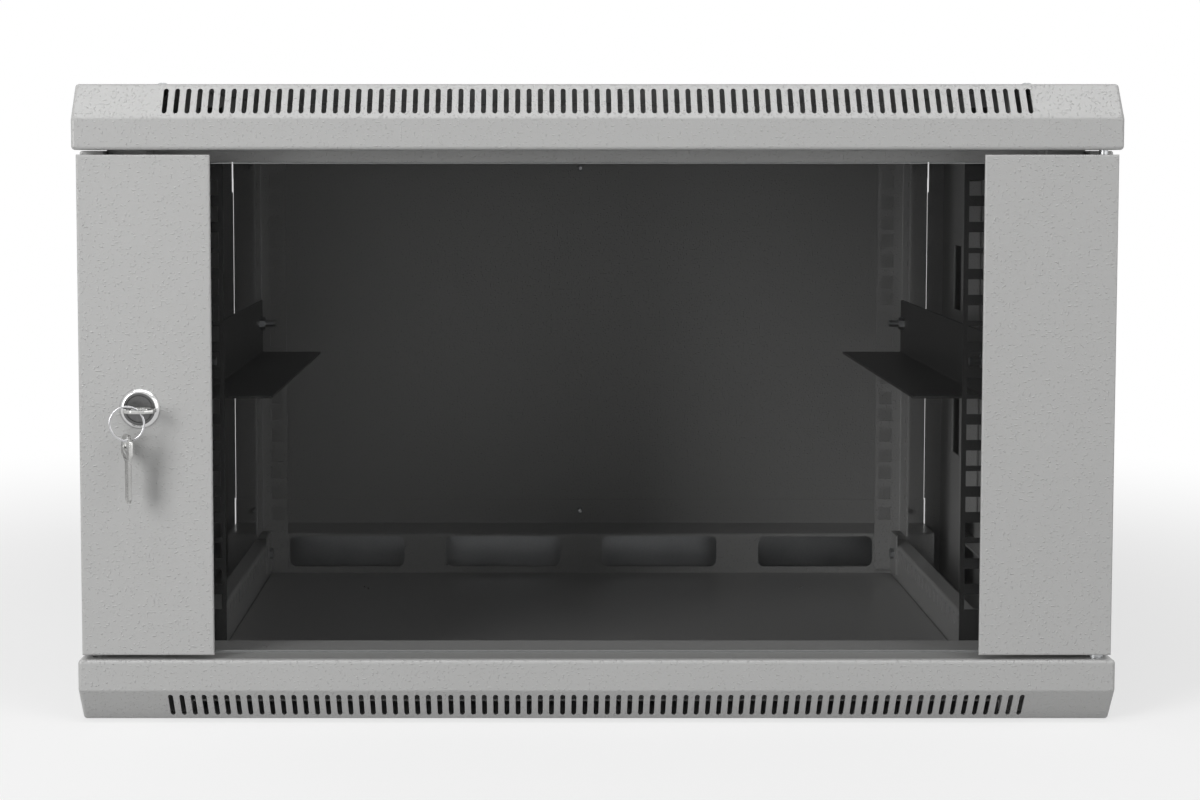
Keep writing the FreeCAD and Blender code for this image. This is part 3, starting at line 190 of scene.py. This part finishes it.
finishes = {
    "light_paint": powder_coat("light_powder_coat", 0.43),
    "inner_paint": powder_coat("inner_powder_coat", 0.43),
    "rail_steel": powder_coat("rail_powder_coat", 0.035, roughness=0.4, wave=0.00006, bead=0.00008),
}
print("powder coats:", ", ".join(finishes))

# %% [markdown]
# ## Plated and polished metal
# Zinc plating shows faint crystals and a soft sheen. The lock is polished chrome around a darker
# plug, whose dark metal is partly grime and partly a painted dark reflection, and the keys are nickel
# that rubbing has scratched. All are fully metallic: the pattern is in the shade, the roughness and
# fine relief.


# %% Metals
def plated(name, dark, light, roughness, spread, scale, relief_depth, stretch=(1, 1, 1)):
    metal = Finish(name)
    crystals = metal.noise(scale=scale, detail=3, stretch=stretch)
    clouds = metal.noise(scale=60, detail=2)
    return metal.done(
        Base_Color=metal.colour(0.6 * crystals + 0.4 * clouds, dark, light),
        Metallic=1.0,
        Roughness=roughness - spread / 2 + spread * clouds,
        Normal=metal.relief(crystals, relief_depth),
    )


finishes["zinc"] = plated(
    "zinc_plating", (0.36, 0.37, 0.38), (0.62, 0.63, 0.64), 0.34, 0.16, 900, 0.00002
)
finishes["chrome"] = plated(
    "polished_chrome", (0.50, 0.50, 0.50), (0.70, 0.70, 0.70), 0.12, 0.06, 300, 0.000004
)
# The plug's dark metal is partly grime and partly a painted dark reflection, standing in for the dark
# surroundings that a real plug face reflects.
finishes["plug_grime_and_painted_reflection"] = plated(
    "grimy_plug_with_painted_dark_reflection", (0.07, 0.07, 0.07), (0.17, 0.17, 0.17), 0.3, 0.2, 700, 0.00001
)
finishes["key_nickel"] = plated(
    "rubbed_nickel", (0.30, 0.30, 0.29), (0.62, 0.62, 0.61), 0.26, 0.14, 1500, 0.00001, (1, 0.12, 1)
)
finishes["spring_steel"] = plated(
    "spring_wire", (0.34, 0.34, 0.35), (0.6, 0.6, 0.61), 0.22, 0.1, 1200, 0.00001
)
print("metals:", "zinc, chrome, plug_grime_and_painted_reflection, key_nickel, spring_steel")

# %% [markdown]
# ## Tinted glass, and black tape of painted shade
# The pane is grey glass that takes away about a sixth of the light each way. A dark, glossy surface
# that is mostly transparent gives that look from both sides, lets the lamps into the cabinet, and
# exports as plain alpha. The ground edges at its top and bottom are paler and let less through:
# partly the frosted colour of a ground edge, partly a painted highlight.


# %% Glass, and tape painted as shade
def tinted_glass():
    glass = Finish("grey_tinted_glass")
    smears = glass.noise(scale=9, detail=4)
    facing = glass.node("ShaderNodeTexCoord", {}, {}, "Normal")
    split = glass.node("ShaderNodeSeparateXYZ", {}, {"Vector": facing}, "Z")
    # The pane's top and bottom faces are pale: partly a ground edge's frosted colour, partly a painted
    # highlight.
    ground_edge_and_highlight = glass.ramp(glass.node("ShaderNodeMath", {"operation": "ABSOLUTE"}, {0: split}), 0.3, 0.6)
    return glass.done(
        Base_Color=glass.colour(ground_edge_and_highlight, (0.0125, 0.0125, 0.0125), (0.31, 0.32, 0.32)),
        Roughness=0.02 + 0.04 * smears + 0.3 * ground_edge_and_highlight,
        Alpha=0.16 + 0.03 * smears + 0.5 * ground_edge_and_highlight,
        Specular_IOR_Level=0.08,
    )


# The black foam tape is painted shade: a black strip laid on the rear posts' back flanges, where there is
# only shadow.
def foam_tape():
    foam = Finish("painted_shade_black_tape")
    cells = foam.noise(scale=1800, detail=2)
    return foam.done(
        Base_Color=foam.colour(cells, (0.012, 0.012, 0.012), (0.03, 0.03, 0.03)),
        Roughness=0.85 + 0.1 * cells,
        Normal=foam.relief(cells, 0.0001),
    )


finishes["tinted_glass"] = tinted_glass()
# The foam tape's black is painted shade.
finishes["foam_tape"] = foam_tape()
for name, node in nodes.items():
    # The lock plug gets the dark plug metal: partly grime, partly a painted dark reflection.
    finish = "plug_grime_and_painted_reflection" if name == "lock_plug" else slot_of[name]
    node.data.materials.clear()
    node.data.materials.append(finishes[finish])
print("every solid has its finish:", len(nodes))

# %% [markdown]
# ## Turning, carving and placing
# Screws, the lock and its ring are round parts, so each starts as one point that is extruded into
# half of its outline and spun about an axis, as on a lathe. Recesses are carved with a Boolean. A
# finished part is copied to each place that its solid has, so the copies sit exactly where the
# solids do.


# %% Hand tools
def only(*chosen):
    """Select these pieces and nothing else. The last one is active."""
    bpy.ops.object.select_all(action="DESELECT")
    for piece in chosen:
        piece.select_set(True)
        bpy.context.view_layer.objects.active = piece


def turned(name, outline, steps=48):
    """Spin an outline of (radius, height) points about the Z axis."""
    bpy.ops.object.select_all(action="DESELECT")
    bpy.ops.mesh.primitive_plane_add(size=0.01)
    piece = bpy.context.object
    piece.name = name
    bpy.ops.object.mode_set(mode="EDIT")
    bpy.ops.mesh.select_all(action="SELECT")
    bpy.ops.mesh.merge(type="CENTER")
    bpy.ops.transform.translate(value=(outline[0][0], 0, outline[0][1]))
    for (radius, height), (next_radius, next_height) in zip(outline, outline[1:]):
        step = (next_radius - radius, 0, next_height - height)
        bpy.ops.mesh.extrude_vertices_move(TRANSFORM_OT_translate={"value": step})
    bpy.ops.mesh.select_all(action="SELECT")
    bpy.ops.mesh.spin(steps=steps, angle=2 * math.pi, center=(0, 0, 0), axis=(0, 0, 1))
    bpy.ops.mesh.select_all(action="SELECT")
    bpy.ops.mesh.remove_doubles(threshold=1e-6)
    bpy.ops.mesh.normals_make_consistent(inside=False)
    bpy.ops.object.mode_set(mode="OBJECT")
    return piece


def block(low, high):
    """A box between two corners, used to carve with."""
    middle = (Vector(low) + Vector(high)) / 2
    bpy.ops.object.select_all(action="DESELECT")
    bpy.ops.mesh.primitive_cube_add(size=1, location=middle, scale=Vector(high) - Vector(low))
    bpy.ops.object.transform_apply(location=True, rotation=True, scale=True)
    return bpy.context.object


def carve(piece, *cutters):
    """Cut closed shapes out of a piece, one after another."""
    for cutter in cutters:
        cavity = piece.modifiers.new("cavity", "BOOLEAN")
        cavity.operation = "DIFFERENCE"
        cavity.solver = "EXACT"
        cavity.object = cutter
        only(piece)
        bpy.ops.object.modifier_apply(modifier="cavity")
        bpy.data.objects.remove(cutter)


def solid_copy(node, name):
    """A CAD node's shape as a new mesh with its loose triangles merged."""
    piece = bpy.data.objects.new(name, nodes[node].data.copy())
    bpy.context.collection.objects.link(piece)
    only(piece)
    bpy.ops.object.mode_set(mode="EDIT")
    bpy.ops.mesh.select_all(action="SELECT")
    bpy.ops.mesh.remove_doubles(threshold=1e-6)
    bpy.ops.object.mode_set(mode="OBJECT")
    return piece


def lumps(node):
    """The lowest and highest corners of each separate solid in a CAD node."""
    only(solid_copy(node, "lumps"))
    bpy.ops.object.mode_set(mode="EDIT")
    bpy.ops.mesh.select_all(action="SELECT")
    bpy.ops.mesh.separate(type="LOOSE")
    bpy.ops.object.mode_set(mode="OBJECT")
    boxes = []
    for lump in list(bpy.context.selected_objects):
        points = [vertex.co for vertex in lump.data.vertices]
        boxes.append([Vector(pick(point[i] for point in points) for i in range(3)) for pick in (min, max)])
        bpy.data.objects.remove(lump)
    return boxes


def stamp(master, name, places):
    """One piece made of copies of a master, one at each place."""
    copies = []
    for place in places:
        copy = bpy.data.objects.new(name, master.data.copy())
        bpy.context.collection.objects.link(copy)
        copy.matrix_world = place
        copies.append(copy)
    only(*copies)
    bpy.ops.object.transform_apply(location=True, rotation=True, scale=True)
    if len(copies) > 1:
        bpy.ops.object.join()
    return bpy.context.object


def dress(piece, finish, body, node):
    """Give a piece its finish and its body, and hide the solid that it stands for."""
    piece.data.materials.clear()
    piece.data.materials.append(finishes[finish])
    only(piece)
    bpy.ops.object.shade_smooth_by_angle(angle=math.radians(35))
    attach(piece, body)
    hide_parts(node)
    print(piece.name, len(piece.data.polygons), "faces")


print("hand tools ready")

# %% [markdown]
# ## Screws with crossed heads
# Countersunk screws hold the side and back panels, and pan heads hold the lid and the cable entry
# plates. The head's outer face is at height 0 or above and the thread runs down from it. Each has a
# cross that a driver fits.


# %% Screw masters
def thread(radius, top, bottom, pitch):
    """Outline points that go down a threaded shank."""
    turns = int((top - bottom) / pitch)
    points = []
    for turn in range(turns):
        level = top - turn * pitch
        points += [(radius, level), (0.86 * radius, level - pitch / 2)]
    return points + [(0.7 * radius, bottom), (0, bottom)]


def crossed(screw, reach, slot_width, top, depth):
    """Cut a driver's cross into a head."""
    half = slot_width / 2
    carve(
        screw,
        block((-reach, -half, top - depth), (reach, half, top + depth)),
        block((-half, -reach, top - depth), (half, reach, top + depth)),
    )
    return screw


def pan_screw(name, head, rise, radius, length):
    """A screw with a low domed head that stands on the sheet."""
    dome = [(0, rise), (0.45 * head, 0.96 * rise), (0.78 * head, 0.72 * rise)]
    dome += [(0.95 * head, 0.34 * rise), (head, 0)]
    screw = turned(name, dome + thread(radius, 0, -length, 0.0007), 32)
    return crossed(screw, 0.5 * head, 0.26 * head, rise, 0.5 * rise)


def flush_screw(name, head, radius, length):
    """A countersunk screw, flush with the sheet."""
    cone = [(0, 0), (0.94 * head, 0), (head, -0.00012)]
    screw = turned(name, cone + thread(radius, -0.0012, -length, 0.0007), 32)
    return crossed(screw, 0.55 * head, 0.26 * head, 0, 0.0011)


flush = flush_screw("flush_master", 0.0036, 0.002, 0.010)
lid = pan_screw("lid_master", 0.0038, 0.0024, 0.002, 0.006)
entry = pan_screw("entry_master", 0.003, 0.0018, 0.0015, 0.004)
print("screw faces:", [len(screw.data.polygons) for screw in (flush, lid, entry)])


# %% Screws in their places
def facing(outward, centre, turn):
    """A place whose Z axis points outward, turned about it by so many degrees."""
    aim = outward.to_track_quat("Z", "Y").to_matrix().to_4x4()
    return Matrix.Translation(centre) @ aim @ Matrix.Rotation(math.radians(turn), 4, "Z")


def seats(node, axis, head_rise):
    """Where each screw of a node sits: the middle of its head, pointing out of the cabinet."""
    middle = (solid_box[0] + solid_box[1]) / 2
    places = []
    for count, (low, high) in enumerate(lumps(node)):
        centre = (low + high) / 2
        outward = Vector((0, 0, 0))
        outward[axis] = 1 if centre[axis] > middle[axis] else -1
        centre[axis] = high[axis] - head_rise if outward[axis] > 0 else low[axis] + head_rise
        places.append(facing(outward, centre, 37 * count % 90))
    return places


for node, master, axis, rise in (
    ("side_panel_screws", flush, 0, 0),
    ("back_panel_screws", flush, 1, 0),
    ("top_cover_screws", lid, 2, 0.0024),
    ("cable_entry_screws", entry, 2, 0.0018),
):
    dress(stamp(master, f"{node}_crossed", seats(node, axis, rise)), "zinc", "cabinet", node)
for master in (flush, lid, entry):
    bpy.data.objects.remove(master)

# %% [markdown]
# ## Lock body
# The lock's rim is turned from brass and chromed: a sloping collar with a rounded edge, a bore for
# the plug and a threaded barrel that the nut runs on. It is one outline, spun, then laid on its
# side facing out of the door.

# %% Lock body
low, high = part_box("lock_body")
rim_height = 0.0022
front, rear = rim_height, rim_height - (high.y - low.y)
bore = 0.00756
barrel, root = 0.0095, 0.0090
flat_face = 0.0093
outline = [(bore, rear), (bore, front - 0.0005), (bore + 0.0003, front - 0.0001), (flat_face, front)]
outline += [(0.0101, front - 0.0003), (0.0110, 0.0010), (0.0116, 0.0004), (0.0118, 0), (barrel, 0)]
ridges = int(-rear / 0.001)
for ridge in range(ridges):
    outline += [(barrel, -0.001 * ridge - 0.0002), (root, -0.001 * ridge - 0.0007)]
outline += [(root, rear), (bore, rear)]
lock_rim = turned("lock_body_master", outline, 64)
middle = (low + high) / 2
lock_place = facing(Vector((0, -1, 0)), Vector((middle.x, low.y + rim_height, middle.z)), 0)
lock_body = stamp(lock_rim, "lock_body_turned", [lock_place])
dress(lock_body, "chrome", "door", "lock_body")
# The rim's flat front face around the bore also gets the dark plug metal: partly grime, partly a painted
# dark reflection.
lock_body.data.materials.append(finishes["plug_grime_and_painted_reflection"])
for face in lock_body.data.polygons:
    across = math.hypot(face.center.x - middle.x, face.center.z - middle.z)
    face.material_index = int(across < flat_face and face.center.y < low.y + 0.001)
bpy.data.objects.remove(lock_rim)

# %% [markdown]
# ## Keys
# A key is stamped from flat nickel-plated strip: its bow has a shallow pressed panel, and a groove
# is milled along each side of the blade with a row of drilled dimples. The solid already has the
# outline, so a merged copy of it has its edges eased and the rest carved. The second key is the
# same mesh, hung from the ring.

# %% Key master
key = solid_copy("key_in_lock", "key_master")
low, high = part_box("key_in_lock")
hole_inset = 0.0055
key_place = Matrix.Translation(((low.x + high.x) / 2, low.y + hole_inset, (low.z + high.z) / 2))
key.matrix_world = key_place.inverted()
only(key)
bpy.ops.object.transform_apply(location=True, rotation=True, scale=True)
bpy.ops.object.mode_set(mode="EDIT")
bpy.ops.mesh.select_all(action="SELECT")
bpy.ops.mesh.dissolve_limited(angle_limit=math.radians(1))
bpy.ops.object.mode_set(mode="OBJECT")
ease = key.modifiers.new("ease", "BEVEL")
ease.width = 0.00022
ease.segments = 2
ease.limit_method = "ANGLE"
ease.angle_limit = math.radians(40)
bpy.ops.object.modifier_apply(modifier="ease")
half, blade = (high.z - low.z) / 2, -0.002
shoulder, tip = 0.0111, 0.0345


def dimple(across, along, side):
    """A small cone that drills a dimple into a face of the blade."""
    bpy.ops.object.select_all(action="DESELECT")
    bpy.ops.mesh.primitive_cone_add(
        vertices=16, radius1=0.0012, radius2=0, depth=0.0012, location=(across, along, side * half),
        rotation=(0 if side < 0 else math.pi, 0, 0),
    )
    bpy.ops.object.transform_apply(location=True, rotation=True, scale=True)
    return bpy.context.object


for side in (-1, 1):
    inner, outer = sorted((side * (half - 0.00035), side * (half + 0.001)))
    groove = blade - side * 0.0014
    carve(key, block((groove - 0.0006, shoulder, inner), (groove + 0.0006, tip, outer)))
    panel, beyond = sorted((side * (half - 0.0002), side * (half + 0.001)))
    carve(key, block((-0.0062, 0.0036, panel), (0.0062, 0.0082, beyond)))
    for count in range(4):
        carve(key, dimple(blade + side * 0.0012, 0.0205 + 0.0028 * count + 0.0006 * side, side))
print("key master has", len(key.data.polygons), "faces")

# %% Keys in their places
dress(stamp(key, "key_in_lock_cut", [key_place]), "key_nickel", "key", "key_in_lock")
low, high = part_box("spare_key")
hang = Matrix(((0, 0, -1), (1, 0, 0), (0, -1, 0))).to_4x4()
spare_place = (
    Matrix.Translation(((low.x + high.x) / 2, (low.y + high.y) / 2, high.z - hole_inset))
    @ Matrix.Rotation(math.radians(26), 4, "Z")
    @ hang
)
dress(stamp(key, "spare_key_cut", [spare_place]), "key_nickel", "spare_key", "spare_key")
bpy.data.objects.remove(key)

# %% [markdown]
# ## Split ring
# The ring is flat spring wire wound twice round, each turn lying against the other. A small
# flattened circle is swept by a Screw modifier for two turns, and its two cut ends are filled.

# %% Split ring
low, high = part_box("key_ring")
wire = (high.y - low.y) / 2
ring_radius = (high.z - low.z) / 2 - wire
pitch = 0.66 * wire
WIRE_SIDES = 12
WIRE_WIDTH, WIRE_THICKNESS = 0.94, 0.32
bpy.ops.object.select_all(action="DESELECT")
bpy.ops.mesh.primitive_circle_add(
    vertices=WIRE_SIDES, radius=wire, location=(ring_radius, 0, 0), rotation=(math.pi / 2, 0, 0)
)
ring = bpy.context.object
ring.name = "key_ring_master"
bpy.ops.object.transform_apply(location=True, rotation=True, scale=True)
bpy.ops.object.mode_set(mode="EDIT")
bpy.ops.mesh.select_all(action="SELECT")
bpy.ops.transform.resize(value=(WIRE_WIDTH, 1, WIRE_THICKNESS), center_override=(ring_radius, 0, 0))
bpy.ops.transform.translate(value=(0, 0, -pitch))
bpy.ops.object.mode_set(mode="OBJECT")
winding = ring.modifiers.new("winding", "SCREW")
winding.axis = "Z"
winding.angle = 2 * math.pi
winding.screw_offset = pitch
winding.iterations = 2
winding.steps = winding.render_steps = 72
winding.use_merge_vertices = False
bpy.ops.object.modifier_apply(modifier="winding")
bpy.ops.object.mode_set(mode="EDIT")
bpy.ops.mesh.select_all(action="SELECT")
bpy.ops.mesh.fill_holes(sides=WIRE_SIDES)
bpy.ops.mesh.normals_make_consistent(inside=False)
bpy.ops.object.mode_set(mode="OBJECT")
ring_place = facing(Vector((0, -1, 0)), (low + high) / 2, 200)
dress(stamp(ring, "key_ring_split", [ring_place]), "spring_steel", "key_ring", "key_ring")
bpy.data.objects.remove(ring)

# %% [markdown]
# ## Pin spring
# Drawing the upper hinge pin down presses its spring against the bracket. The spring here is a merged
# copy of its solid, carried by the door, with a mesh of its own.

# %% Pin spring
low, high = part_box("hinge_pin_spring")
coil = solid_copy("hinge_pin_spring", "hinge_pin_coil")
dress(coil, "spring_steel", "door", "hinge_pin_spring")
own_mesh(coil)

# %% [markdown]
# ## Floor and backdrop
# The cabinet stands on a pale floor against white. The floor and the sky look white to the camera
# and in glossy or clear surfaces, while the light that they send out stays at a plain level. Near
# the cabinet the floor keeps more of its own shading, so that the shadow shows.


# %% Rays that see the backdrop
def seen(finish):
    """1 for rays from the camera, a glossy surface or a clear one, and 0 for the light on the object."""
    rays = ("Is Camera Ray", "Is Glossy Ray", "Is Transmission Ray")
    camera_ray, glossy, clear = [finish.node("ShaderNodeLightPath", {}, {}, ray) for ray in rays]
    return camera_ray.maths("MAXIMUM", camera_ray, glossy.maths("MAXIMUM", glossy, clear))


print("backdrop rays ready")

# %% Floor
underside = solid_box[0].z
bpy.ops.object.select_all(action="DESELECT")
bpy.ops.mesh.primitive_plane_add(size=14, location=(0, 0, underside))
floor = bpy.context.object
floor.name = "studio_floor"
paper = Finish("white_paper")
viewed = seen(paper)
shade = paper.colour(viewed * (0.92 + 0.08 * paper.noise(scale=3)), (0.5, 0.5, 0.5), (0.92, 0.92, 0.92))
matt = paper.node("ShaderNodeBsdfPrincipled", {}, {"Base Color": shade, "Roughness": 0.9})
away = paper.node("ShaderNodeVectorMath", {"operation": "LENGTH"}, {0: paper.place}, "Value")
glow = paper.node("ShaderNodeEmission", {}, {"Color": (1, 1, 1, 1), "Strength": 1.0})
amount = viewed * paper.ramp(away, 0.35, 1.1, 0.6, 1.0)
blend = paper.node("ShaderNodeMixShader", {}, {"Fac": amount, 1: matt, 2: glow})
floor.data.materials.append(paper.join(blend))
print("floor at", round(underside, 4))

# %% Sky
SKY_LIGHT = 0.16
sky = Finish("studio_sky", bpy.data.worlds)
plain, white = [
    sky.node("ShaderNodeBackground", {}, {"Color": (1, 1, 1, 1), "Strength": strength})
    for strength in (SKY_LIGHT, 1.0)
]
choice = sky.node("ShaderNodeMixShader", {}, {"Fac": seen(sky), 1: plain, 2: white})
bpy.context.scene.world = sky.join(choice, "ShaderNodeOutputWorld")
print("sky light", SKY_LIGHT)

# %% [markdown]
# ## Lamps
# Two large lamps stand half way round to the sides, so that they reach the side panels and the
# cabinet's floor through the glass. The left one is stronger. A wide one overhead glints in the
# sloping top edge.


# %% Lamps
def soft_lamp(name, place, size, watts):
    """A rectangular lamp that faces the middle of the cabinet."""
    bpy.ops.object.light_add(type="AREA", location=place)
    lamp = bpy.context.object
    lamp.name = name
    lamp.data.shape = "RECTANGLE"
    lamp.data.size, lamp.data.size_y = size
    lamp.data.energy = watts
    lamp.rotation_mode = "QUATERNION"
    lamp.rotation_quaternion = (Vector((0, 0, 0.18)) - Vector(place)).to_track_quat("-Z", "Y")
    return lamp


soft_lamp("lamp_above", (0, -0.85, 2.1), (2.6, 0.6), 20)
soft_lamp("lamp_left", (-1.95, -2.15, 0.95), (1.0, 1.9), 50)
soft_lamp("lamp_right", (2.3, -2.05, 0.95), (2.4, 2.0), 23)

# %% [markdown]
# ## Camera
# A lens a little longer than normal stands in front of the cabinet, slightly left of its middle and
# just below its top, and looks a few degrees down.

# %% Camera
CAMERA_DISTANCE = 1.2
bpy.ops.object.camera_add(
    location=(-0.036, -0.225 - CAMERA_DISTANCE, 0.328),
    rotation=(math.radians(90 - 3.6), 0, 0),
)
camera = bpy.context.object
camera.data.lens = 63.13
camera.data.shift_x = 0.0547
camera.data.shift_y = -0.092
camera.data.clip_start = 0.05
bpy.context.scene.camera = camera
bpy.context.scene.view_settings.view_transform = "Standard"
print("camera", tuple(round(c, 3) for c in camera.location))
